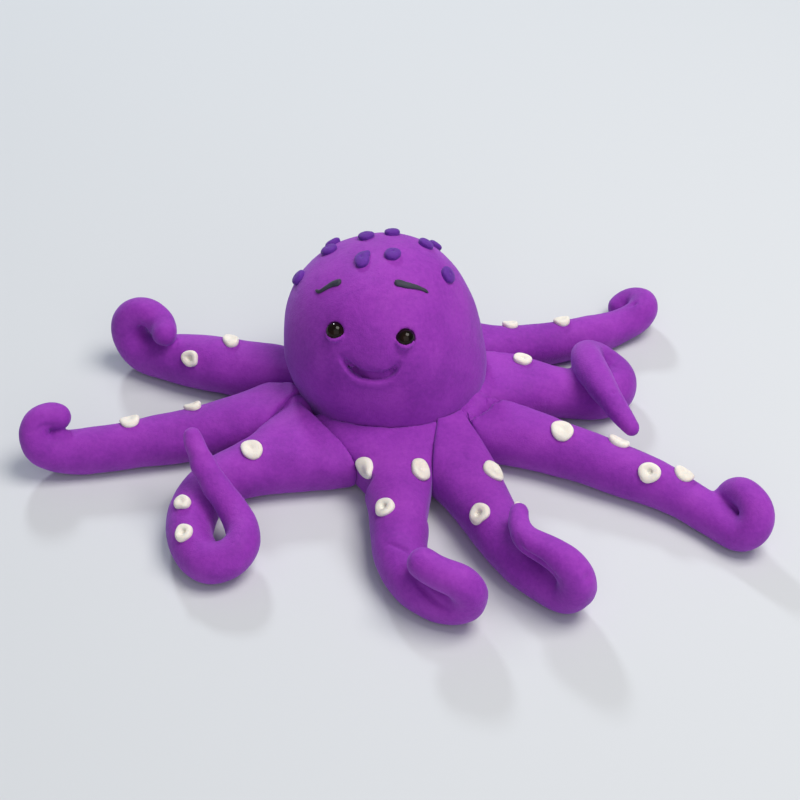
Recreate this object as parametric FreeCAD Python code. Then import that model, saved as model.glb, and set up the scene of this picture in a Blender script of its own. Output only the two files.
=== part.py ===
import FreeCAD, Part
import math
import os
from FreeCAD import Vector

# Hand-modelled clay octopus. Millimetres, +Z up, table at z = 0.
# The face looks towards -Y and +X is on the right of somebody looking at it.

# --- head -------------------------------------------------------------------
HEAD_RADIUS = 25.7        # at its widest ring
HEAD_WIDEST_Z = 20.4      # the ball has sagged, so its widest ring sits low
HEAD_RISE = 29.6          # from the widest ring to the crown
HEAD_SAG = 23.5           # from the widest ring to where the ball would end below
HEAD_BLUNT = 2.5          # 2 is an ellipse, more is blunter
HEAD_BLUNT_BELOW = 3.1    # the sagged half is blunter
HEAD_LEAN = 12            # degrees the crown leans towards -X

# --- face -------------------------------------------------------------------
EYE_RADIUS = 2.45
EYE_STAND_OUT = 1.9       # how much of the bead is proud of the head
EYES = {"left": (-9.6, 39.4), "right": (8.5, 39.0)}          # x, z
BROW_RADIUS = 0.95
BROW_TIP_RADIUS = 0.5
BROW_LIFT = 0.4          # of its middle above the head
# x and z along each brow, from the thick inner end to the thin outer end
BROWS = {
    "left": ((-9.8, 47.2), (-13.2, 45.7), (-16.2, 43.9)),
    "right": ((4.6, 48.5), (8.5, 47.5), (12.5, 45.7)),
}
MOUTH = [(-7.6, 34.0), (-5.4, 31.8), (-2.8, 30.2), (1.0, 29.8), (4.8, 30.4), (7.6, 33.8)]
MOUTH_RADIUS = 0.8

# --- spots on the head: bearing, elevation seen from its widest ring, radius --
SPOTS = [
    (182, 42, 2.2), (161, 57, 2.2), (144, 50, 2.1), (209, 78, 2.4), (124, 67, 2.2),
    (351, 86, 2.2), (91, 65, 2.1), (46, 64, 2.2), (56, 50, 2.1), (4, 56, 2.3),
    (113, 36, 2.2), (76, 40, 2.2), (146, 22, 2.2), (60, 20, 2.2),
]
SPOT_THICKNESS = 2.8
SPOT_LIFT = 0.3           # of the spot's middle above the head

# --- suckers: how far along the arm, angle around it, radius, poked hole ------
SUCKERS = {
    "left_back": [(39, 44, 2.4, True), (30, 104, 2.6, False)],
    "left": [(55, 112, 2.8, False), (38, 124, 2.6, False)],
    "left_front": [(34, 84, 3.0, False), (59, 104, 2.1, False), (68, 111, 2.3, True)],
    "front": [(25.3, 142, 2.9, False), (28, 52, 3.0, False), (42.5, 118, 2.7, True)],
    "right_front": [(32.2, 54, 3.0, False), (44.7, 128, 2.8, True), (44.2, 24, 2.2, False)],
    "right": [(41, 96, 3.1, True), (55, 60, 2.8, False), (66.5, 118, 2.8, True),
              (73.5, 68, 2.7, False)],
    "right_mid": [(20, 72, 2.5, False)],
    "right_back": [(29.5, 62, 2.2, False), (44.5, 74, 2.3, False)],
}
SUCKER_THICKNESS = 1.5
SUCKER_ROUNDING = 0.7
SUCKER_SUNK = 1.2         # how deep the button is pressed into the arm
HOLE_RADIUS = 0.75
HOLE_DEPTH = 1.1

# --- arms -------------------------------------------------------------------
# start: x, y and heading where the arm comes out from under the head
# lying: stretches on the table, length and turn to the left
# lifted: length, turn, way it bends (0 to the left, 90 upwards), tightening
# girth: share of the length, half width, half height
REST = 0.93               # centre height of a lying arm over its half height
LIFTED_REST = 0.975       # the flat narrows where the arm leaves the table
ROOT_BLUNT = 3.6          # sections by the head are nearly square, 2 is an oval
ROOT_SHARE = 0.34         # of the arm's length, where they have become oval
ARMS = {
    "left_back": {
        "start": (-13.5, 0.6, 185),
        "lying": [(54, -19)],
        "lifted": [(20.5, 194, 101, 1.4), (8.5, 66, 14, 1.0)],
        "girth": [(0, 9.0, 6.0), (0.12, 7.6, 6.6), (0.24, 8.0, 7.3), (0.38, 8.1, 7.6),
                  (0.52, 7.2, 7.2), (0.68, 5.7, 5.7), (0.85, 4.6, 4.6), (1, 3.6, 3.6)],
    },
    "left": {
        "start": (-12.6, -8.6, 213),
        "lying": [(68, -15)],
        "lifted": [(9, 24, 90, 1.0), (15, 190, 118, 1.2)],
        "girth": [(0, 12, 7.2), (0.13, 10.5, 7.3), (0.28, 8, 7.3), (0.55, 6.5, 6.5),
                  (0.8, 5.7, 5.7), (0.89, 4.1, 4.1), (0.95, 3.6, 3.6), (1, 3.4, 3.4)],
    },
    "left_front": {
        "start": (-2.4, -16, 223.5),
        "lying": [(38.5, -7.5), (33.5, 98)],
        "lifted": [(16.5, 155, 18, 1.0), (10, 44, 76, 1.0), (18.5, -22, 34, 1.0)],
        "girth": [(0, 16, 7.2), (0.12, 16, 7.3), (0.2, 12, 7.3), (0.29, 8.2, 7.0),
                  (0.38, 6.6, 6.6), (0.6, 5.5, 5.5), (0.8, 4.1, 4.1), (1, 2.5, 2.5)],
    },
    "front": {
        "start": (2.7, -12.4, 286),
        "lying": [(47.5, -7), (21.5, 55)],
        "lifted": [(3.2, 17, 26, 1.4), (13.5, 163, 95, 1.4), (8.5, 19, 11, 1.3)],
        "girth": [(0, 20, 7.2), (0.13, 18.5, 7.3), (0.25, 11, 7.4), (0.36, 8.2, 7.3),
                  (0.5, 7.3, 7.2), (0.64, 6.3, 6.3), (0.76, 5.2, 5.2), (0.88, 4.4, 4.4),
                  (1, 4.0, 4.0)],
    },
    "right_front": {
        "start": (11.7, -11.1, 302),
        "lying": [(46.2, 0), (24, 26)],
        "lifted": [(18.5, 180, 95, 0.8), (6, -4, 0, 1.0), (11, 66, 0, 0.8)],
        "girth": [(0, 13, 7.2), (0.2, 10.4, 7.3), (0.32, 8.2, 7.2), (0.45, 6.9, 6.9),
                  (0.62, 5.6, 5.6), (0.76, 4.5, 4.5), (0.88, 3.5, 3.5), (1, 2.5, 2.5)],
    },
    "right": {
        "start": (9.5, -8, 347),
        "lying": [(60.5, -5.5), (30.5, -22.5)],
        "lifted": [(12, 145, 62, 1.2), (16, 115, 40, 0.5)],
        "girth": [(0, 13, 7.2), (0.15, 10.2, 7.4), (0.3, 7.5, 7.2), (0.5, 6.5, 6.5),
                  (0.72, 4.9, 4.9), (0.86, 4.1, 4.1), (1, 3.0, 3.0)],
    },
    "right_mid": {
        "start": (16, 4, 0),
        "lying": [(40.5, 4)],
        "lifted": [(12.5, 126, 10, 1.2), (16.5, 152, 54, 0.6), (28, 34, 44, 1.4)],
        "girth": [(0, 14, 7.0), (0.08, 14, 7.2), (0.17, 11.5, 7.1), (0.28, 8.0, 6.9),
                  (0.42, 6.2, 6.2), (0.6, 4.5, 4.5), (0.8, 4.1, 4.1), (0.93, 3.1, 3.1),
                  (1, 2.2, 2.2)],
    },
    "right_back": {
        "start": (3.6, 14.6, 14),
        "lying": [(10.5, -3), (50, 26)],
        "lifted": [(8, 25, 90, 1.0), (15, 186, -16, 1.0)],
        "girth": [(0, 8.5, 6.6), (0.12, 9.5, 7.0), (0.22, 8.6, 7.0), (0.35, 6.5, 6.5),
                  (0.62, 5.6, 5.6), (0.8, 4.6, 4.6), (0.9, 4.0, 4.0), (1, 3.4, 3.4)],
    },
}

# --- seams where two neighbouring arms are pressed together -------------------
# x, y, heading and reach of the line; arm on its left, arm on its right
SEAMS = [
    (-23.0, -11.8, 172, 25, "left", "left_back"),
    (-22.3, -16.2, 242, 19, "left_front", "left"),
    (-17.1, -21.2, 315, 30, "front", "left_front"),
    (17.1, -22.6, 273, 30, "right_front", "front"),
    (25.0, -18.0, 303, 22, "right", "right_front"),
    (26.0, -8.0, 352, 21, "right_mid", "right"),
    (25.9, 10.5, 14, 30, "right_back", "right_mid"),
]

OUT = "parts"


def interpolate(table, share, column):
    """Smooth reading of one column of a table whose first column is a share."""
    for i in range(len(table) - 1):
        if share <= table[i + 1][0]:
            break
    a, b = table[i], table[i + 1]
    before = table[i - 1] if i > 0 else a
    after = table[i + 2] if i + 2 < len(table) else b
    gap = b[0] - a[0]
    slope_a = (b[column] - before[column]) / (b[0] - before[0])
    slope_b = (after[column] - a[column]) / (after[0] - a[0])
    t = (share - a[0]) / gap
    value = (2 * t**3 - 3 * t**2 + 1) * a[column] + (3 * t**2 - 2 * t**3) * b[column]
    value += gap * ((t**3 - 2 * t**2 + t) * slope_a + (t**3 - t**2) * slope_b)
    return value


def turned(vector, axis, angle):
    return FreeCAD.Rotation(axis, math.degrees(angle)).multVec(vector)


class Station:
    """One cross-section of an arm: centre, direction and the two half sizes."""

    def __init__(self, centre, along, left, up, half_width, half_height):
        self.centre = centre
        self.along = along
        self.left = left
        self.up = up
        self.half_width = half_width
        self.half_height = half_height
        self.blunt = 2
        self.rest = REST

    def rim(self, angle, shrink=1.0):
        """Point on the skin; 0 is the arm's left flank, 90 its top."""
        a = math.radians(angle)
        across = math.copysign(abs(math.cos(a)) ** (2 / self.blunt), math.cos(a))
        rise = math.copysign(abs(math.sin(a)) ** (2 / self.blunt), math.sin(a))
        offset = self.left * (self.half_width * across) + self.up * (self.half_height * rise)
        return self.centre + offset * shrink

    def outward(self, angle):
        chord = self.rim(angle + 2) - self.rim(angle - 2)
        return chord.cross(self.along).normalize()


def arm_length(spec):
    return sum(piece[0] for piece in spec["lying"] + spec["lifted"])


def arm_stations(spec, spacing=3.0):
    """Walk along an arm: first flat on the table, then through the lifted bends."""
    total = arm_length(spec)
    x, y, heading = spec["start"]
    heading = math.radians(heading)
    walked = 0.0
    stations = []

    def girth(distance):
        share = min(1.0, distance / total)
        return interpolate(spec["girth"], share, 1), interpolate(spec["girth"], share, 2)

    def root_blunt():
        fade = max(0.0, 1 - walked / total / ROOT_SHARE)
        return 2 + (ROOT_BLUNT - 2) * fade * fade * (3 - 2 * fade)

    def lying_station():
        wide, high = girth(walked)
        along = Vector(math.cos(heading), math.sin(heading), 0)
        left = Vector(-math.sin(heading), math.cos(heading), 0)
        centre = Vector(x, y, REST * high)
        stations.append(Station(centre, along, left, Vector(0, 0, 1), wide, high))
        stations[-1].blunt = root_blunt()

    lying_station()
    for length, turn in spec["lying"]:
        count = max(2, round(length / spacing), round(abs(turn) / 12))
        for _ in range(count):
            for _ in range(8):
                step = length / count / 8
                bend = math.radians(turn) / count / 8
                heading += bend / 2
                x += step * math.cos(heading)
                y += step * math.sin(heading)
                heading += bend / 2
            walked += length / count
            lying_station()

    last = stations[-1]
    centre, along, left, up = last.centre, last.along, last.left, last.up
    for length, turn, towards, tightening in spec["lifted"]:
        count = max(2, round(length / spacing), round(abs(turn) / 15))
        towards = math.radians(towards)
        for i in range(count):
            for j in range(8):
                share = (i * 8 + j + 0.5) / (count * 8)
                pace = 2 * (1 + (tightening - 1) * share) / (1 + tightening)
                bend = math.radians(turn) * pace / (count * 8)
                inward = left * math.cos(towards) + up * math.sin(towards)
                axis = along.cross(inward)
                along = turned(along, axis, bend / 2)
                centre = centre + along * (length / count / 8)
                along = turned(along, axis, bend / 2)
                left = turned(left, axis, bend)
                up = turned(up, axis, bend)
            walked += length / count
            wide, high = girth(walked)
            stations.append(Station(centre, along, left, up, wide, high))
            stations[-1].rest = min(LIFTED_REST, stations[-2].rest + 0.008)
    return stations


def section_wire(station, shrink=1.0, advance=0.0):
    """Oval section with the narrow flat that the arm rests on."""
    half_flat = math.degrees(math.asin(station.rest ** (station.blunt / 2)))
    points = []
    for i in range(17):
        angle = -half_flat + (180 + 2 * half_flat) * i / 16
        points.append(station.rim(angle, shrink) + station.along * advance)
    skin = Part.BSplineCurve()
    skin.interpolate(points)
    flat = Part.LineSegment(points[-1], points[0])
    return Part.Wire([skin.toShape(), flat.toShape()])


def arm_tube(stations):
    wires = [section_wire(s) for s in stations]
    tip = stations[-1]
    for angle in (25, 48, 67, 82):
        a = math.radians(angle)
        wires.append(section_wire(tip, math.cos(a), tip.half_width * math.sin(a)))
    return Part.makeLoft(wires, True, False)


def largest(shape):
    return max(shape.Solids, key=lambda s: s.Volume)


def beside_seam(seam, side):
    """Block that fills one side of a seam line; side 1 is its left, -1 its right."""
    x, y, heading, reach = seam[:4]
    block = Part.makeBox(reach + 30, 40, 60, Vector(-30, 0 if side > 0 else -40, -10))
    block.rotate(Vector(0, 0, 0), Vector(0, 0, 1), heading)
    block.translate(Vector(x, y, 0))
    return block


def build_arm(name, head_ball):
    arm = arm_tube(arm_stations(ARMS[name]))
    arm = arm.cut(head_ball)
    for seam in SEAMS:
        if seam[4] == name:
            arm = arm.cut(beside_seam(seam, -1))
        if seam[5] == name:
            arm = arm.cut(beside_seam(seam, 1))
    return largest(arm)


def build_head_ball():
    """Sagged ball, leaning a little, standing on the flat pressed by the table."""
    points = []
    for i in range(-12, 13):
        a = math.radians(7.5 * i)
        blunt = HEAD_BLUNT if i > 0 else HEAD_BLUNT_BELOW
        reach = HEAD_RISE if i > 0 else -HEAD_SAG
        ring = HEAD_RADIUS * abs(math.cos(a)) ** (2 / blunt)
        rise = reach * abs(math.sin(a)) ** (2 / blunt)
        points.append(Vector(0 if abs(i) == 12 else ring, 0, rise))
    curve = Part.BSplineCurve()
    curve.interpolate(points)
    axis = Part.LineSegment(points[-1], points[0])
    half = Part.Face(Part.Wire([curve.toShape(), axis.toShape()]))
    ball = half.revolve(Vector(0, 0, 0), Vector(0, 0, 1), 360)
    ball.rotate(Vector(0, 0, 0), Vector(0, 1, 0), -HEAD_LEAN)
    ball.translate(Vector(0, 0, HEAD_WIDEST_Z))
    return ball.cut(Part.makeBox(100, 100, 50, Vector(-50, -50, -50)))


def on_head(ball, x, z):
    """Point on the front of the head and the direction straight out of it there."""
    inside = ball.common(Part.makeLine(Vector(x, -60, z), Vector(x, 0, z)))
    point = min((v.Point for v in inside.Vertexes), key=lambda p: p.y)
    return point, outward_of(ball, point)


def towards(ball, bearing, elevation):
    """The same, looking out from the middle of the widest ring."""
    b = math.radians(bearing)
    e = math.radians(elevation)
    middle = Vector(0, 0, HEAD_WIDEST_Z)
    ray = Vector(math.cos(b) * math.cos(e), math.sin(b) * math.cos(e), math.sin(e))
    inside = ball.common(Part.makeLine(middle, middle + ray * 60))
    point = max((v.Point for v in inside.Vertexes), key=lambda p: (p - middle).Length)
    return point, outward_of(ball, point)


def outward_of(ball, point):
    skin = max(ball.Faces, key=lambda f: f.Area)
    normal = skin.normalAt(*skin.Surface.parameter(point))
    if normal.dot(point - Vector(0, 0, HEAD_WIDEST_Z)) < 0:
        normal = normal * -1
    return normal


def ring_wire(centre, direction, radius):
    return Part.Wire(Part.makeCircle(radius, centre, direction))


def roll(points, radii):
    """Tapered roll of clay through the points."""
    wires = []
    for i, (point, radius) in enumerate(zip(points, radii)):
        direction = points[min(i + 1, len(points) - 1)] - points[max(i - 1, 0)]
        wires.append(ring_wire(point, direction, radius))
    return Part.makeLoft(wires, True, False)


def through(corners, count):
    """Evenly numbered points on a smooth curve through x, z corners."""
    curve = Part.BSplineCurve()
    curve.interpolate([Vector(x, 0, z) for x, z in corners])
    first, last = curve.FirstParameter, curve.LastParameter
    return [curve.value(first + (last - first) * i / (count - 1)) for i in range(count)]


def build_eye(ball, side):
    point, normal = on_head(ball, *EYES[side])
    return Part.makeSphere(EYE_RADIUS, point - normal * (EYE_RADIUS - EYE_STAND_OUT))


def build_brow(ball, side):
    points = []
    for p in through(BROWS[side], 9):
        point, normal = on_head(ball, p.x, p.z)
        points.append(point + normal * BROW_LIFT)
    share = [i / 8 for i in range(9)]
    radii = [BROW_RADIUS + (BROW_TIP_RADIUS - BROW_RADIUS) * f for f in share]
    radii[0] = BROW_RADIUS * 0.8
    return largest(roll(points, radii).cut(ball))


def build_mouth_groove(ball):
    points = [on_head(ball, p.x, p.z)[0] for p in through(MOUTH, 11)]
    radii = [MOUTH_RADIUS * (0.45 + 0.55 * math.sin(math.pi * i / 10)) for i in range(11)]
    return roll(points, radii)


def build_spot(ball, bearing, elevation, radius):
    """Little ball flattened against the head."""
    point, normal = towards(ball, bearing, elevation)
    spot = Part.makeSphere(radius)
    squeeze = FreeCAD.Matrix()
    squeeze.A33 = SPOT_THICKNESS / 2 / radius
    spot = spot.transformGeometry(squeeze)
    turn = FreeCAD.Rotation(Vector(0, 0, 1), normal)
    spot.Placement = FreeCAD.Placement(point + normal * SPOT_LIFT, turn)
    return spot.cut(ball)


def build_sucker(arm, stations, along, angle, radius, poked):
    """Clay button pressed onto the arm, some of them poked in the middle."""
    walked = 0.0
    i = 0
    while walked < along:
        walked += (stations[i + 1].centre - stations[i].centre).Length
        i += 1
    station = stations[i]
    button = Part.makeCylinder(radius, SUCKER_THICKNESS + SUCKER_SUNK, Vector(0, 0, -SUCKER_SUNK))
    top = [e for e in button.Edges if e.BoundBox.ZMin > SUCKER_THICKNESS - 0.01]
    button = button.makeFillet(SUCKER_ROUNDING, top)
    if poked:
        hole = Part.makeCone(HOLE_RADIUS * 0.5, HOLE_RADIUS, HOLE_DEPTH)
        hole.translate(Vector(0, 0, SUCKER_THICKNESS - HOLE_DEPTH))
        button = button.cut(hole)
    turn = FreeCAD.Rotation(Vector(0, 0, 1), station.outward(angle))
    button.Placement = FreeCAD.Placement(station.rim(angle), turn)
    return largest(button.cut(arm))


def save(shape, name):
    shape.exportStep(OUT + "/" + name + ".step")


def build():
    os.makedirs(OUT, exist_ok=True)
    ball = build_head_ball()
    head = ball
    for side in EYES:
        eye = build_eye(ball, side)
        save(eye, "eye_" + side)
        save(build_brow(ball, side), "brow_" + side)
        head = head.cut(eye)
    save(head.cut(build_mouth_groove(ball)), "head")
    for i, (bearing, elevation, radius) in enumerate(SPOTS):
        save(build_spot(ball, bearing, elevation, radius), "spot_%d" % (i + 1))
    for name in ARMS:
        arm = build_arm(name, ball)
        save(arm, "arm_" + name)
        stations = arm_stations(ARMS[name], 1.0)
        for i, (along, angle, radius, poked) in enumerate(SUCKERS[name]):
            sucker = build_sucker(arm, stations, along, angle, radius, poked)
            save(sucker, "sucker_%s_%d" % (name, i + 1))


if __name__ == "__main__":
    build()
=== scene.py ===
"""Looks of the clay octopus figure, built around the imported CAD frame.

Lengths are millimetres, except those of the lights and the camera, which are metres.
"""
import math
import random

import bmesh
import bpy
import numpy as np
from mathutils import Matrix, Vector, noise
from mathutils.bvhtree import BVHTree


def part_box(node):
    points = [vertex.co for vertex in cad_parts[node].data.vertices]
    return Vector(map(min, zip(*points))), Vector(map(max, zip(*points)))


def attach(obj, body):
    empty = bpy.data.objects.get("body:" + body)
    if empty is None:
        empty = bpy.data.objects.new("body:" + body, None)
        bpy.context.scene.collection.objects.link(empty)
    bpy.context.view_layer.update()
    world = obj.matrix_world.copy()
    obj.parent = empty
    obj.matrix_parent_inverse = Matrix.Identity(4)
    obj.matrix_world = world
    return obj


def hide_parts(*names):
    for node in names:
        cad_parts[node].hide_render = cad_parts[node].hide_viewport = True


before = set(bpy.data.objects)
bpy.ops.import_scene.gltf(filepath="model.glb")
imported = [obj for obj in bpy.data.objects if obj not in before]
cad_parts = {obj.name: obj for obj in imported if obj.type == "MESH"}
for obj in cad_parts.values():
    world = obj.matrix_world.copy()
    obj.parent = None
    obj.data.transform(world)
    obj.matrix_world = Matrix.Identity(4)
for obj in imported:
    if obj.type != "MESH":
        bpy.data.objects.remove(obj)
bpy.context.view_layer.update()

MM = 0.001
ARMS = ("left_back", "left", "left_front", "front", "right_front", "right", "right_mid", "right_back")


# ---------------------------------------------------------------- mesh helpers
def add_object(name, mesh):
    obj = bpy.data.objects.new(name, mesh)
    bpy.context.scene.collection.objects.link(obj)
    return obj


def shade_smooth(mesh):
    mesh.polygons.foreach_set("use_smooth", [True] * len(mesh.polygons))


def mesh_object(name, verts_mm, faces):
    mesh = bpy.data.meshes.new(name)
    mesh.from_pydata([(x * MM, y * MM, z * MM) for x, y, z in verts_mm], [], faces)
    mesh.update()
    shade_smooth(mesh)
    return add_object(name, mesh)


def baked(obj):
    """Replaces the object's mesh by its modified mesh and drops the modifiers."""
    graph = bpy.context.evaluated_depsgraph_get()
    mesh = bpy.data.meshes.new_from_object(obj.evaluated_get(graph))
    old = obj.data
    obj.modifiers.clear()
    obj.data = mesh
    bpy.data.meshes.remove(old)
    shade_smooth(obj.data)
    return obj


def dab(mesh, centre, radii):
    """Adds a closed ellipsoid of clay to a mesh."""
    bm = bmesh.new()
    bm.from_mesh(mesh)
    place = Matrix.Translation(Vector(centre) * MM) @ Matrix.Diagonal((*(Vector(radii) * MM), 1))
    bmesh.ops.create_icosphere(bm, subdivisions=3, radius=1, matrix=place)
    bm.to_mesh(mesh)
    bm.free()


# distance from the figure's middle where the smoothing of an arm starts to grow, and over which it grows
ROOT_END = 32
ROOT_FADE = 10
SOFTNESS_STEPS = 10


def clay_copy(node, name, voxel, rounds, root_softness=1.0, dabs=()):
    """Even, soft-edged skin over a CAD solid; a low root softness keeps the joins at the head crisp."""
    obj = add_object(name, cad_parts[node].data.copy())
    obj.data.materials.clear()
    for centre, radii in dabs:
        dab(obj.data, centre, radii)
    remesh = obj.modifiers.new("remesh", "REMESH")
    remesh.mode = "VOXEL"
    remesh.voxel_size = voxel * MM
    baked(obj)
    points = read(obj)
    from_middle = np.hypot(points[:, 0], points[:, 1])
    share = root_softness + (1 - root_softness) * ease((from_middle - ROOT_END) / ROOT_FADE)
    loose = obj.vertex_groups.new(name="loose")
    for step in range(SOFTNESS_STEPS + 1):
        chosen = np.where(np.round(share * SOFTNESS_STEPS).astype(int) == step)[0]
        loose.add(chosen.tolist(), step / SOFTNESS_STEPS, "REPLACE")
    smooth = obj.modifiers.new("smooth", "SMOOTH")
    smooth.vertex_group = "loose"
    smooth.factor = 0.5
    smooth.iterations = rounds
    return baked(obj)


def read(obj, what="co"):
    values = np.empty(len(obj.data.vertices) * 3, np.float32)
    obj.data.vertices.foreach_get(what, values)
    values = values.reshape(-1, 3).astype(float)
    return values / MM if what == "co" else values


def write(obj, points):
    obj.data.vertices.foreach_set("co", (points * MM).astype(np.float32).ravel())
    obj.data.update()


def lumps(obj, seed, layers):
    """Unevenness of hand-rolled clay: layers are size and height."""
    points, normals = read(obj), read(obj, "normal")
    total = np.zeros(len(points))
    for i, (size, height) in enumerate(layers):
        shift = Vector((seed * 17.3 + i * 5.1, seed * 3.7, i * 9.2))
        values = [noise.noise(Vector(p) / size + shift) for p in points]
        total += np.array(values) * height
    write(obj, points + normals * total[:, None])


def polyline_distance(points, line):
    """Distance of each point to a polyline, and how far along the line it lies, 0 to 1."""
    line = np.array(line, float)
    if len(line) == 1:
        return np.linalg.norm(points - line[0], axis=1), np.full(len(points), 0.5)
    lengths = np.linalg.norm(np.diff(line, axis=0), axis=1)
    starts = np.concatenate([[0], np.cumsum(lengths)])
    best = np.full(len(points), 1e9)
    along = np.zeros(len(points))
    for a, b, length, start in zip(line[:-1], line[1:], lengths, starts):
        t = np.clip((points - a) @ (b - a) / length**2, 0, 1)
        d = np.linalg.norm(points - a - t[:, None] * (b - a), axis=1)
        nearer = d < best
        best[nearer] = d[nearer]
        along[nearer] = (start + t[nearer] * length) / starts[-1]
    return best, along


def smooth_line(corners, count):
    """Points on a Catmull-Rom curve through the corners."""
    corners = [Vector(c) for c in corners]
    first, last = 2 * corners[0] - corners[1], 2 * corners[-1] - corners[-2]
    ext = [first] + corners + [last]
    points = []
    for i in range(count):
        s = i / (count - 1) * (len(corners) - 1)
        k = min(int(s), len(corners) - 2)
        t = s - k
        a, b, c, d = ext[k], ext[k + 1], ext[k + 2], ext[k + 3]
        p = b * 2 + (c - a) * t + (a * 2 - b * 5 + c * 4 - d) * t**2 + (b * 3 - a - c * 3 + d) * t**3
        points.append(p / 2)
    return points


def press(obj, line, width, depth):
    """Pushes the skin in along a line or at a single point; a negative depth pulls it out."""
    points, normals = read(obj), read(obj, "normal")
    d, along = polyline_distance(points, line)
    weight = np.exp(-((d / width) ** 2))
    if len(line) > 1:
        weight *= np.sin(np.pi * np.clip(along, 0.02, 0.98)) ** 0.6
    write(obj, points - normals * (weight * depth)[:, None])


def skin_tree(obj):
    points = [tuple(p) for p in read(obj)]
    faces = [tuple(f.vertices) for f in obj.data.polygons]
    return BVHTree.FromPolygons(points, faces)


def frame_at(normal, towards):
    """Two directions in the skin, the first as near as it can be to the one asked for."""
    normal = Vector(normal).normalized()
    first = Vector(towards) - normal * normal.dot(Vector(towards))
    if first.length < 1e-3:
        first = normal.orthogonal()
    first.normalize()
    return first, normal.cross(first), normal


# ------------------------------------------------------------------ materials
def new_material(name):
    material = bpy.data.materials.new(name)
    material.use_nodes = True
    nodes, links = material.node_tree.nodes, material.node_tree.links
    return material, nodes, links, nodes["Principled BSDF"]


ROUGHNESS_SPREAD = 0.22


def clay_material(name, low, middle, high, roughness=0.72, grain=1.0, sheen=0.25, sheen_tint=(1, 1, 1, 1),
                  scatter=0.0, scatter_radius=(1, 1, 1)):
    """Modelling clay: faint blotches, fine mottling, and a skin with pores and finger drag."""
    material, nodes, links, shader = new_material(name)
    place = nodes.new("ShaderNodeTexCoord")

    def noise_node(scale, detail=2.0, rough=0.5, distortion=0.0, stretch=None):
        source = place.outputs["Object"]
        if stretch:
            mapping = nodes.new("ShaderNodeMapping")
            mapping.inputs["Scale"].default_value = stretch
            links.new(source, mapping.inputs["Vector"])
            source = mapping.outputs["Vector"]
        node = nodes.new("ShaderNodeTexNoise")
        node.inputs["Scale"].default_value = scale
        node.inputs["Detail"].default_value = detail
        node.inputs["Roughness"].default_value = rough
        node.inputs["Distortion"].default_value = distortion
        links.new(source, node.inputs["Vector"])
        return node.outputs["Fac"]

    def math_node(kind, a, b):
        node = nodes.new("ShaderNodeMath")
        node.operation = kind
        for socket, value in zip(node.inputs, (a, b)):
            if isinstance(value, (int, float)):
                socket.default_value = value
            else:
                links.new(value, socket)
        return node.outputs[0]

    def weighted_sum(*terms):
        total = None
        for value, share in terms:
            part = math_node("MULTIPLY", value, share)
            total = part if total is None else math_node("ADD", total, part)
        return total

    blotch = noise_node(scale=70, detail=3, rough=0.55, distortion=0.4)
    mottle = noise_node(scale=900, detail=4, rough=0.65)
    tone = weighted_sum((blotch, 0.62), (mottle, 0.38))
    ramp = nodes.new("ShaderNodeValToRGB")
    ramp.color_ramp.elements[0].position = 0.36
    ramp.color_ramp.elements[0].color = (*low, 1)
    ramp.color_ramp.elements[1].position = 0.64
    ramp.color_ramp.elements[1].color = (*high, 1)
    ramp.color_ramp.elements.new(0.5).color = (*middle, 1)
    links.new(tone, ramp.inputs["Fac"])
    links.new(ramp.outputs["Color"], shader.inputs["Base Color"])

    uneven = math_node("MULTIPLY", noise_node(scale=260, detail=3), ROUGHNESS_SPREAD)
    links.new(math_node("ADD", uneven, roughness - ROUGHNESS_SPREAD / 2), shader.inputs["Roughness"])

    pores = noise_node(scale=2600, detail=3, rough=0.6)
    skin = noise_node(scale=620, detail=3, rough=0.6, distortion=0.3)
    drag = noise_node(scale=500, detail=2, rough=0.6, stretch=(0.35, 1.0, 1.6))
    height = weighted_sum((pores, 0.50), (skin, 0.55), (drag, 0.25))
    bump = nodes.new("ShaderNodeBump")
    bump.inputs["Strength"].default_value = 0.8 * grain
    bump.inputs["Distance"].default_value = 0.00028
    links.new(height, bump.inputs["Height"])
    links.new(bump.outputs["Normal"], shader.inputs["Normal"])

    shader.inputs["Specular IOR Level"].default_value = 0.28
    shader.inputs["Sheen Weight"].default_value = sheen
    shader.inputs["Sheen Roughness"].default_value = 0.45
    shader.inputs["Sheen Tint"].default_value = sheen_tint
    if scatter:
        shader.inputs["Subsurface Weight"].default_value = scatter
        shader.inputs["Subsurface Radius"].default_value = scatter_radius
        shader.inputs["Subsurface Scale"].default_value = 0.0012
    return material


def bead_material():
    """Glossy near-black brown bead with a little depth in its colour."""
    material, nodes, links, shader = new_material("eye_bead")
    place = nodes.new("ShaderNodeTexCoord")
    swirl = nodes.new("ShaderNodeTexNoise")
    swirl.inputs["Scale"].default_value = 350
    swirl.inputs["Detail"].default_value = 2
    links.new(place.outputs["Object"], swirl.inputs["Vector"])
    ramp = nodes.new("ShaderNodeValToRGB")
    ramp.color_ramp.elements[0].position = 0.35
    ramp.color_ramp.elements[0].color = (0.003, 0.0018, 0.0012, 1)
    ramp.color_ramp.elements[1].position = 0.7
    ramp.color_ramp.elements[1].color = (0.014, 0.006, 0.003, 1)
    links.new(swirl.outputs["Fac"], ramp.inputs["Fac"])
    links.new(ramp.outputs["Color"], shader.inputs["Base Color"])
    shader.inputs["Roughness"].default_value = 0.07
    shader.inputs["Specular IOR Level"].default_value = 0.2
    return material


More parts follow.
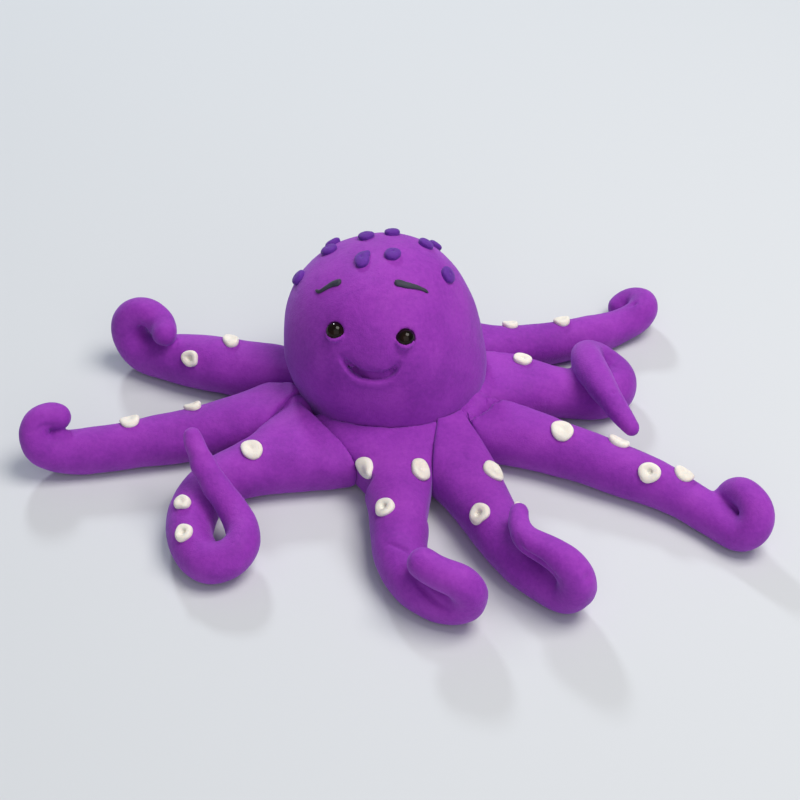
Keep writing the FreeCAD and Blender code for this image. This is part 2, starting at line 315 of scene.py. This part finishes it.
PURPLE = clay_material(
    "body_clay", (0.222, 0.020, 0.355), (0.278, 0.028, 0.420), (0.330, 0.040, 0.470),
    sheen=0.32, sheen_tint=(0.55, 0.40, 1, 1), scatter=0.06, scatter_radius=(1, 0.35, 1.2))
VIOLET = clay_material(
    "spot_clay", (0.090, 0.012, 0.250), (0.110, 0.016, 0.290), (0.130, 0.022, 0.335),
    sheen=0.22, sheen_tint=(0.6, 0.5, 1, 1))
WHITE = clay_material(
    "sucker_clay", (0.75, 0.70, 0.62), (0.81, 0.77, 0.69), (0.86, 0.82, 0.75),
    grain=0.7, sheen=0.08, scatter=0.25, scatter_radius=(1, 0.75, 0.55))
CHARCOAL = clay_material(
    "brow_clay", (0.022, 0.024, 0.040), (0.030, 0.032, 0.052), (0.040, 0.042, 0.066),
    roughness=0.6, grain=0.7, sheen=0.1)
BEAD = bead_material()


def finish_piece(obj, material, nodes):
    obj.data.materials.clear()
    obj.data.materials.append(material)
    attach(obj, "root")
    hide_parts(*nodes)
    return obj


# ----------------------------------------------------------------------- head
# x and z of the mouth's line, from its left corner to its right one
SMILE = [(-7.9, 34.8), (-6.6, 32.7), (-4.6, 30.6), (-2.4, 29.4),
         (0.8, 29.1), (4.0, 29.5), (6.1, 31.4), (7.4, 34.4)]
MOUTH_STEPS = 60
MOUTH_SIDE = 15            # half width, front and heights of the skin that the mouth may move
MOUTH_FRONT = -14
MOUTH_LOW = 20
MOUTH_HIGH = 42
IN_FRONT = -60             # y from which the front of the head is looked for
ROOF_REACH = 4.6           # above the line, under the upper lip
ROOF_DEPTH = 1.7
LEDGE_REACH = 1.35         # below the line, on the lower lip
LEDGE_DEPTH = 1.7
RIM_PLACE = 2.1            # of the lower lip's raised rim, below the line
RIM_WIDTH = 0.9
RIM_HEIGHT = 0.2
SLOT_WIDTH = 0.6           # of the narrow cut along the line itself
SLOT_DEPTH = 0.2
LEFT_SLOT = (0.31, 0.13, 2.3)       # place along the mouth, length and extra depth
RIGHT_SLOT = (0.78, 0.10, 0.6)


def ease(x):
    x = np.clip(x, 0, 1)
    return x * x * (3 - 2 * x)


def sculpt_mouth(head):
    """Smile with an overhanging upper lip and a soft ledge for the lower one."""
    tree = skin_tree(head)
    line = []
    for p in smooth_line([(x, 0, z) for x, z in SMILE], MOUTH_STEPS):
        hit = tree.ray_cast(Vector((p.x, IN_FRONT, p.z)), Vector((0, 1, 0)))
        line.append(hit[0])
    points, normals = read(head), read(head, "normal")
    near = (np.abs(points[:, 0]) < MOUTH_SIDE) & (points[:, 1] < MOUTH_FRONT)
    near &= (points[:, 2] > MOUTH_LOW) & (points[:, 2] < MOUTH_HIGH)
    chosen = np.where(near)[0]
    p = points[chosen]
    d, t = polyline_distance(p, [tuple(q) for q in line])
    index = np.clip((t * (MOUTH_STEPS - 1)).astype(int), 0, MOUTH_STEPS - 2)
    line = np.array([tuple(q) for q in line])
    tangent = line[index + 1] - line[index]
    offset = p - line[index]
    above = offset[:, 2] * tangent[:, 0] - offset[:, 0] * tangent[:, 2] > 0
    middle = np.sin(np.pi * np.clip(t, 0, 1))
    opening = middle**0.85
    depth = np.zeros(len(p))
    roof = (1 - ease(d / ROOF_REACH)) ** 1.6 * ROOF_DEPTH * opening
    ledge = (1 - ease(d / LEDGE_REACH)) * LEDGE_DEPTH * opening
    rim = -RIM_HEIGHT * np.exp(-(((d - RIM_PLACE) / RIM_WIDTH) ** 2)) * middle**2
    depth[above] = roof[above]
    depth[~above] = (ledge + rim)[~above]
    cut = SLOT_DEPTH * opening
    for place, length, extra in (LEFT_SLOT, RIGHT_SLOT):
        cut = cut + extra * np.exp(-(((t - place) / length) ** 2))
    depth += np.exp(-((d / SLOT_WIDTH) ** 2)) * cut
    points[chosen] -= normals[chosen] * depth[:, None]
    write(head, points)


HEAD_MIDDLE = 20.4         # height of the head's middle
EYE_TURN = 0.45            # how much a bead faces sideways
LID_BALLS = 13
LID_START = 205            # degrees round the bead
LID_SWEEP = 130
LID_TIP = 0.48             # radius of the outermost balls
LID_SWELL = 0.36           # added to it in the middle of the lid
LID_INSET = 0.2
LID_FORWARD = 1.08
GAP_IN_FRONT = 0.05        # between a bead and its clay
GAP_BEHIND = 0.12


def bead_place(side):
    """Middle and radius of a bead, with the directions out of the face, up and sideways."""
    low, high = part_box("eye_" + side)
    centre = (low + high) / 2 / MM
    out = Vector((centre[0] * EYE_TURN, centre[1], centre[2] - HEAD_MIDDLE)).normalized()
    up = (Vector((0, 0, 1)) - out * out.z).normalized()
    return centre, (high - low)[0] / 2 / MM, out, up, up.cross(out)


def lid_dabs(side):
    """Little balls of clay along the lower rim of a bead."""
    centre, radius, out, up, across = bead_place(side)
    balls = []
    last = LID_BALLS - 1
    for i in range(LID_BALLS):
        a = math.radians(LID_START + LID_SWEEP * i / last)
        size = LID_TIP + LID_SWELL * math.sin(math.pi * i / last)
        rim = across * math.cos(a) + up * math.sin(a)
        balls.append((centre + rim * (radius - LID_INSET) + out * LID_FORWARD, (size, size, size)))
    return balls


def seat_eye(head, side):
    """Moves the clay that a bead would touch out to the bead's surface."""
    centre, radius, out = (np.array(v) for v in bead_place(side)[:3])
    points = read(head)
    rel = points - centre
    reach = np.linalg.norm(rel, axis=1)
    gap = np.where(rel @ out > 0, GAP_IN_FRONT, GAP_BEHIND)
    inside = reach < radius + gap
    points[inside] = centre + rel[inside] / reach[inside, None] * (radius + gap[inside])[:, None]
    write(head, points)


FACE_SIDE = 13.5           # half width, front and heights of the skin that gets finer
FACE_FRONT = -13
FACE_LOW = 25
FACE_HIGH = 44


def refine_face(head):
    """Four times as many faces where the mouth and the eyes are."""
    bm = bmesh.new()
    bm.from_mesh(head.data)
    edges = set()
    for face in bm.faces:
        c = face.calc_center_median() / MM
        if abs(c.x) < FACE_SIDE and c.y < FACE_FRONT and FACE_LOW < c.z < FACE_HIGH:
            edges.update(face.edges)
    bmesh.ops.subdivide_edges(bm, edges=list(edges), cuts=1, use_grid_fill=True)
    bm.to_mesh(head.data)
    bm.free()
    shade_smooth(head.data)


# where the head swells or is pressed flat: place, width, depth
HEAD_SHAPE = (
    ((-22, -10, 20), 9, -0.9),
    ((23, -6, 18), 9, -0.7),
    ((19, -4, 42), 9, 0.8),
    ((0, -15, 45), 7, -0.35),
)


def build_head():
    head = clay_copy("head", "head_clay", voxel=0.42, rounds=10, dabs=lid_dabs("left") + lid_dabs("right"))
    lumps(head, seed=3, layers=[(16, 0.55), (6, 0.14)])
    for place, width, depth in HEAD_SHAPE:
        press(head, [place], width, depth)
    refine_face(head)
    sculpt_mouth(head)
    for side in ("left", "right"):
        seat_eye(head, side)
    return finish_piece(head, PURPLE, ["head"])


# ----------------------------------------------------------------------- arms
# folds and dimples of the arms: a line or one point, width, depth; a negative depth swells
CREASES = {
    "left_back": [([(-68.5, 5.0, 15.0)], 1.5, 1.6),
                  ([(-68.4, 4.5, 16.5), (-66.5, 1.5, 17.6), (-64.6, -0.5, 17.4)], 0.5, 0.5),
                  ([(-68.4, 4.5, 16.5), (-70.2, 4.6, 18.0)], 0.5, 0.45),
                  ([(-68.4, 4.5, 16.5), (-69.0, 2.0, 18.2)], 0.45, 0.4)],
    "left": [([(-85.5, -43.5, 14.2), (-82.4, -41.2, 15.8), (-79.0, -39.0, 14.9)], 0.6, 0.5)],
    "left_front": [([(-33.5, -54.0, 2.0), (-32.5, -57.0, 5.0), (-31.5, -60.0, 8.0)], 4.5, -1.1)],
    "front": [([(10.8, -65.4, 12.2), (12.8, -66.3, 12.5), (15.8, -67.5, 12.7), (18.2, -69.5, 12.8)],
               0.5, 0.55),
              ([(11.5, -61.5, 13.0), (14.5, -62.6, 13.2)], 0.6, 0.25),
              ([(16.0, -72.5, 11.5), (18.0, -74.2, 10.9), (21.4, -77.2, 9.7), (25.0, -79.5, 8.7),
                (28.1, -80.9, 7.9)], 0.8, 1.1)],
    "right_front": [([(59.6, -72.8, 15.2)], 1.0, 0.5),
                    ([(42.3, -64.0, 18.0), (44.7, -67.2, 15.8), (48.7, -70.0, 15.9), (53.1, -73.1, 14.1)],
                     0.8, 1.0)],
    "right": [([(94.8, -37.2, 8.5), (96.2, -40.0, 10.5)], 0.7, 0.4),
              ([(23.5, -15.5, 12.5), (25.5, -12.5, 13.0), (28.0, -9.5, 12.5)], 3.6, 3.0)],
    "right_mid": [([(61.4, -7.9, 18.8)], 0.55, 0.6), ([(58.3, 13.3, 12.3), (60.6, 11.2, 11.9)], 0.45, 0.4),
                  ([(60.6, 11.2, 11.9), (63.4, 10.2, 11.6)], 0.45, 0.4)],
    "right_back": [([(62.8, 41.0, 10.8), (65.2, 42.4, 11.2)], 0.55, 0.9)],
}


# clay smeared round an arm's root, onto the head or the next root: middle and radii
SMEARS = {
    "left": [((-24.5, -12.5, 8.0), (5.5, 4.5, 6.0))],
    "left_front": [((-21.5, -17.0, 8.0), (5.0, 5.0, 5.6))],
    "front": [((-12.0, -21.5, 7.5), (5.0, 4.0, 5.0)), ((12.0, -22.0, 7.5), (5.0, 4.0, 5.0))],
    "right_mid": [((25.5, -4.0, 8.5), (5.5, 6.0, 6.2)), ((25.0, -9.5, 8.5), (5.4, 5.5, 6.2)),
                  ((24.0, -14.0, 8.0), (4.6, 5.0, 6.0))],
}


# x and y along grooves between roots, seen from above
ROOT_GROOVES = {
    "right": [(24.4, -18.6), (26.4, -16.2), (28.4, -13.2), (30.2, -10.6), (32.6, -9.2)],
    "right_mid": [(32.6, -9.2), (36.5, -9.7), (40.6, -10.3), (45.0, -11.0)],
}


GROOVE_WIDTH = 0.6
GROOVE_DEPTH = 1.6
UPPER_SIDE = 0.3           # upward part of a normal from which the groove is whole
END_FADE = 0.1             # share of the groove's length
ARM_SEED = 10
TABLE = 0.02               # lowest height of an arm's skin


def groove_root(arm, line, width, depth):
    """Ragged groove along a line seen from above, on the upper side only and fading at both ends."""
    points, normals = read(arm), read(arm, "normal")
    flat = points.copy()
    flat[:, 2] = 0
    path = [(x, y, 0) for x, y in line]
    d, along = polyline_distance(flat, path)
    ragged = 1 + 0.35 * np.sin(along * 41) * np.sin(along * 17 + 1)
    weight = np.exp(-((d / (width * ragged)) ** 2)) * ease(normals[:, 2] / UPPER_SIDE)
    weight *= ease(along / END_FADE) * ease((1 - along) / END_FADE)
    write(arm, points - np.array((0, 0, 1.0)) * (weight * depth)[:, None])


def build_arm(name, seed):
    arm = clay_copy("arm_" + name, "clay_arm_" + name, voxel=0.5, rounds=12, root_softness=0.5,
                    dabs=SMEARS.get(name, ()))
    lumps(arm, seed, layers=[(13, 0.42), (5, 0.13)])
    for line, width, depth in CREASES[name]:
        press(arm, line, width, depth)
    if name in ROOT_GROOVES:
        groove_root(arm, ROOT_GROOVES[name], GROOVE_WIDTH, GROOVE_DEPTH)
    keep_on_table(arm)
    return finish_piece(arm, PURPLE, ["arm_" + name])


def keep_on_table(obj):
    points = read(obj)
    points[:, 2] = np.maximum(points[:, 2], TABLE)
    write(obj, points)


# ------------------------------------------------------------ pressed-on clay
TOP_RINGS = 12
SHOULDER_RINGS = 12
UNDER_RINGS = 5
DIMPLE_WIDTH = 0.62        # share of the flat top
SHALLOW_DIP = 0.12         # drop of an unpoked top towards its middle, share of the height
HOLE_RADIUS = 0.6
THINNEST = 0.14            # share of the height left under a hole
SHOULDER_DROP = 0.52
UNDER_TUCK = 0.10
UNDER_DEPTH = 0.56
SKIN_SEARCH = 6            # how far above a pellet its ground is looked for
DEEPEST = 1.6              # how far below its middle a pellet may follow the ground
NUB_WIDTH = 0.38           # radians


def pellet_profile(radius, flat, dimple, hole):
    """Rings from the middle of the top to the rim and under it: shares of the radius and of the height."""
    profile = []
    for i in range(TOP_RINGS):
        share = i / (TOP_RINGS - 1)
        r = flat * share
        sunk = dimple * math.exp(-((share / DIMPLE_WIDTH) ** 2)) if dimple else SHALLOW_DIP * (1 - share**2)
        if hole:
            sunk += hole * math.exp(-((r * radius / HOLE_RADIUS) ** 3))
        profile.append((r, max(1 - sunk, THINNEST)))
    for i in range(1, SHOULDER_RINGS + 1):
        a = math.pi * 0.5 * i / SHOULDER_RINGS
        profile.append((flat + (1 - flat) * math.sin(a) ** 0.85, 1 - SHOULDER_DROP * (1 - math.cos(a))))
    for i in range(1, UNDER_RINGS + 1):
        a = math.pi * 0.5 * i / UNDER_RINGS
        profile.append((1 - UNDER_TUCK * (1 - math.cos(a)), 1 - SHOULDER_DROP - UNDER_DEPTH * math.sin(a)))
    return profile


def pellet(name, tree, centre, normal, radius, height, dimple=0.0, hole=0.0, seed=0, stretch=1.0,
           towards=(1, 0, 0), wobble=0.05, segments=56, flat=0.66, nub=0.0, nub_angle=0.0):
    """Little ball of clay pressed flat, perhaps poked or with a nub at its side."""
    draw = random.Random(seed)
    first, second, out = frame_at(normal, towards)
    phases = [draw.uniform(0, 2 * math.pi) for _ in range(4)]
    weights = [wobble * draw.uniform(0.5, 1.0) / (k + 1) for k in range(4)]
    tilt = draw.uniform(0, 2 * math.pi)
    profile = pellet_profile(radius, flat, dimple, hole)
    verts, faces = [], []

    def on_skin(u, v, h):
        base = Vector(centre) + first * u + second * v
        hit = tree.ray_cast(base + out * SKIN_SEARCH, -out, 2 * SKIN_SEARCH)
        ground = hit[0] if hit[0] is not None else base
        deepest = base - out * DEEPEST
        if (ground - deepest).dot(out) < 0:
            ground = deepest
        return ground + out * h

    verts.append(on_skin(0, 0, height * profile[0][1]))
    for r, h in profile[1:]:
        for j in range(segments):
            a = 2 * math.pi * j / segments
            bulge = 1 + sum(w * math.cos((k + 2) * a + f) for k, (w, f) in enumerate(zip(weights, phases)))
            bulge += nub * math.exp(-((math.remainder(a - nub_angle, 2 * math.pi) / NUB_WIDTH) ** 2))
            lift = 1 + 0.10 * math.cos(a - tilt) * r
            u = r * radius * bulge * math.cos(a) * stretch
            v = r * radius * bulge * math.sin(a) / stretch
            verts.append(on_skin(u, v, height * h * lift))
    rings = len(profile) - 1
    for j in range(segments):
        faces.append((0, 1 + j, 1 + (j + 1) % segments))
    for i in range(rings - 1):
        for j in range(segments):
            a, b = 1 + i * segments + j, 1 + i * segments + (j + 1) % segments
            faces.append((a, a + segments, b + segments, b))
    last = 1 + (rings - 1) * segments
    verts.append(sum((verts[last + j] for j in range(segments)), Vector()) / segments - out * 0.1)
    for j in range(segments):
        faces.append((len(verts) - 1, last + (j + 1) % segments, last + j))
    obj = mesh_object(name, verts, faces)
    lumps(obj, seed + 50, layers=[(1.8, 0.06)])
    return obj


# dimple and hole depth as a share of the height, stretch, wobble
SUCKER_LOOKS = {
    "left_back": [(0.50, 0.85, 1.12, 0.10), (0.25, 0.0, 1.18, 0.12)],
    "left": [(0.40, 0.0, 1.05, 0.05), (0.45, 0.0, 1.05, 0.08)],
    "left_front": [(0.30, 0.1, 1.08, 0.05), (0.35, 0.0, 1.05, 0.08), (0.45, 0.85, 1.0, 0.06)],
    "front": [(0.25, 0.0, 1.18, 0.06), (0.40, 0.1, 1.12, 0.07), (0.50, 0.85, 1.0, 0.05)],
    "right_front": [(0.35, 0.1, 1.08, 0.05), (0.55, 0.85, 1.0, 0.07), (0.30, 0.0, 1.0, 0.06)],
    "right": [(0.30, 0.1, 1.06, 0.04), (0.45, 0.0, 1.05, 0.05), (0.45, 0.85, 1.0, 0.04),
              (0.35, 0.1, 1.08, 0.05)],
    "right_mid": [(0.40, 0.2, 1.05, 0.06)],
    "right_back": [(0.30, 0.0, 1.0, 0.06), (0.30, 0.0, 1.05, 0.06)],
}


SUCKER_SEED = 100
SUCKER_HEIGHT = 1.3
SUCKER_FIT = 0.98          # of the CAD button's radius
SPOT_SEED = 300
SPOT_HEIGHT = 1.45
TEAR_SPOT = 3              # the spot pinched into a tear, counted from 0


def middle_of(node):
    low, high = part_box(node)
    return (low + high) / 2 / MM, (high - low) / MM


def build_suckers(arms):
    seed = SUCKER_SEED
    for name in ARMS:
        tree = skin_tree(arms[name])
        for i, (dimple, hole, stretch, wobble) in enumerate(SUCKER_LOOKS[name]):
            node = "sucker_%s_%d" % (name, i + 1)
            centre, size = middle_of(node)
            place, normal = tree.find_nearest(centre)[:2]
            radius = max(size) / 2 * SUCKER_FIT
            seed += 1
            piece = pellet(node + "_clay", tree, place, normal, radius, SUCKER_HEIGHT, dimple, hole, seed,
                           stretch, towards=(0.6, -0.8, 0), wobble=wobble)
            finish_piece(piece, WHITE, [node])


def build_spots(head):
    tree = skin_tree(head)
    for i in range(14):
        node = "spot_%d" % (i + 1)
        centre, size = middle_of(node)
        place, normal = tree.find_nearest(centre)[:2]
        draw = random.Random(SPOT_SEED + i)
        stretch = 1.2 if i == TEAR_SPOT else 1.0 + draw.uniform(0.0, 0.14)
        lean = draw.uniform(-0.6, 0.6)
        piece = pellet(node + "_clay", tree, place, normal, max(size) / 2, SPOT_HEIGHT, seed=SPOT_SEED + i,
                       stretch=stretch, towards=(lean, 1.6, 1), segments=48, flat=0.22,
                       nub=0.5 if i == TEAR_SPOT else 0.0, nub_angle=-0.8)
        finish_piece(piece, VIOLET, [node])


# x, z and half width along each brow, from its inner end
BROWS = {
    "left": [(-9.5, 47.3, 0.8), (-10.4, 47.0, 1.05), (-11.9, 46.3, 0.85),
             (-13.4, 45.4, 0.66), (-15.0, 44.3, 0.5), (-16.3, 43.9, 0.4)],
    "right": [(4.0, 48.5, 0.8), (5.0, 48.4, 1.05), (6.8, 47.9, 0.9),
              (8.8, 47.2, 0.72), (11.0, 46.2, 0.5), (12.4, 45.3, 0.35)],
}
BROW_RINGS = 26
BROW_SIDES = 20
BROW_THICKNESS = 0.62      # share of its half width
BROW_RAISED = 0.22
NARROWEST = 0.15
BROW_TIP = 0.35            # share of the width at both tips
BROW_GROWTH = 0.3          # share added with each ring


def build_brow(tree, side):
    """Tapered roll pressed flat onto the forehead."""
    spine = smooth_line([(x, w, z) for x, z, w in BROWS[side]], BROW_RINGS)
    centres, widths = [], []
    for p in spine:
        hit = tree.ray_cast(Vector((p.x, IN_FRONT, p.z)), Vector((0, 1, 0)))
        centres.append((hit[0], hit[1]))
        widths.append(max(NARROWEST, p.y))
    verts, faces = [], []
    ring, last = BROW_SIDES, BROW_RINGS - 1
    for i, (centre, normal) in enumerate(centres):
        along = centres[min(i + 1, last)][0] - centres[max(i - 1, 0)][0]
        _, second, out = frame_at(normal, along)
        end = min(1.0, BROW_TIP + i * BROW_GROWTH, BROW_TIP + (last - i) * BROW_GROWTH)
        for j in range(ring):
            a = 2 * math.pi * j / ring
            across = second * (widths[i] * end * math.cos(a))
            raised = out * (BROW_THICKNESS * widths[i] * end * math.sin(a) + BROW_RAISED)
            verts.append(centre + across + raised)
    for i in range(last):
        for j in range(ring):
            a, b = i * ring + j, i * ring + (j + 1) % ring
            faces.append((a, b, b + ring, a + ring))
    faces.append(tuple(range(ring - 1, -1, -1)))
    faces.append(tuple(last * ring + j for j in range(ring)))
    obj = mesh_object("brow_%s_clay" % side, verts, faces)
    sub = obj.modifiers.new("soften", "SUBSURF")
    sub.levels = 2
    sub.render_levels = 2
    baked(obj)
    lumps(obj, seed=7 if side == "left" else 8, layers=[(1.5, 0.12)])
    return finish_piece(obj, CHARCOAL, ["brow_" + side])


# ------------------------------------------------------------- floor and light
FLOOR_REACH = 2500
LIGHT_TARGET = (0, 0, 0.02)         # metres
# name, direction from the figure, distance and size in metres, power, colour
LIGHTS = (
    ("key", (0.38, 0.02, 0.92), 0.9, 0.5, 6.9, (1.0, 0.94, 0.88)),
    ("rim", (-0.36, 0.76, 0.55), 1.0, 0.12, 3.4, (0.92, 0.96, 1)),
    ("fill", (0.35, -0.9, 0.62), 1.2, 1.4, 5.6, (1.0, 0.95, 0.92)),
)
SKY_COLOUR = (0.70, 0.84, 1.0, 1)
SKY_STRENGTH = 0.22
CAMERA_AZIMUTH = 9         # degrees
CAMERA_ELEVATION = 40
CAMERA_PLACE = (0.0620, -0.3669, 0.3137)     # metres


def build_floor():
    far = FLOOR_REACH
    corners = [(-far, -far, 0), (far, -far, 0), (far, far, 0), (-far, far, 0)]
    floor = mesh_object("floor", corners, [(0, 1, 2, 3)])
    material, _, _, shader = new_material("pale_floor")
    shader.inputs["Base Color"].default_value = (0.62, 0.65, 0.68, 1)
    shader.inputs["Roughness"].default_value = 0.9
    floor.data.materials.append(material)


def area_light(name, direction, distance, size, power, colour):
    light = bpy.data.lights.new(name, "AREA")
    light.shape = "SQUARE"
    light.size = size
    light.energy = power
    light.color = colour
    obj = bpy.data.objects.new(name, light)
    bpy.context.scene.collection.objects.link(obj)
    target = Vector(LIGHT_TARGET)
    obj.location = target + Vector(direction).normalized() * distance
    obj.rotation_euler = (target - obj.location).to_track_quat("-Z", "Y").to_euler()


def build_lights():
    for light in LIGHTS:
        area_light(*light)
    world = bpy.data.worlds.new("studio")
    world.use_nodes = True
    background = world.node_tree.nodes["Background"]
    background.inputs["Color"].default_value = SKY_COLOUR
    background.inputs["Strength"].default_value = SKY_STRENGTH
    bpy.context.scene.world = world


def build_camera():
    """About 40 degrees above the table and a little to the right of straight ahead."""
    azimuth, elevation = math.radians(CAMERA_AZIMUTH), math.radians(CAMERA_ELEVATION)
    level = math.cos(elevation)
    back = Vector((math.sin(azimuth) * level, -math.cos(azimuth) * level, math.sin(elevation)))
    right = Vector((math.cos(azimuth), math.sin(azimuth), 0))
    up = back.cross(right)
    data = bpy.data.cameras.new("camera")
    data.lens = 80
    data.sensor_width = 36
    data.clip_start = 0.01
    camera = bpy.data.objects.new("camera", data)
    place = Matrix((right, up, back)).transposed().to_4x4()
    place.translation = Vector(CAMERA_PLACE)
    camera.matrix_world = place
    bpy.context.scene.collection.objects.link(camera)
    bpy.context.scene.camera = camera


def build():
    build_camera()
    build_lights()
    build_floor()
    head = build_head()
    arms = {name: build_arm(name, ARM_SEED + i) for i, name in enumerate(ARMS)}
    build_suckers(arms)
    build_spots(head)
    head_tree = skin_tree(head)
    for side in ("left", "right"):
        build_brow(head_tree, side)
        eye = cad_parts["eye_" + side]
        eye.data.materials.clear()
        eye.data.materials.append(BEAD)
    bpy.context.scene.view_settings.view_transform = "Standard"


build()
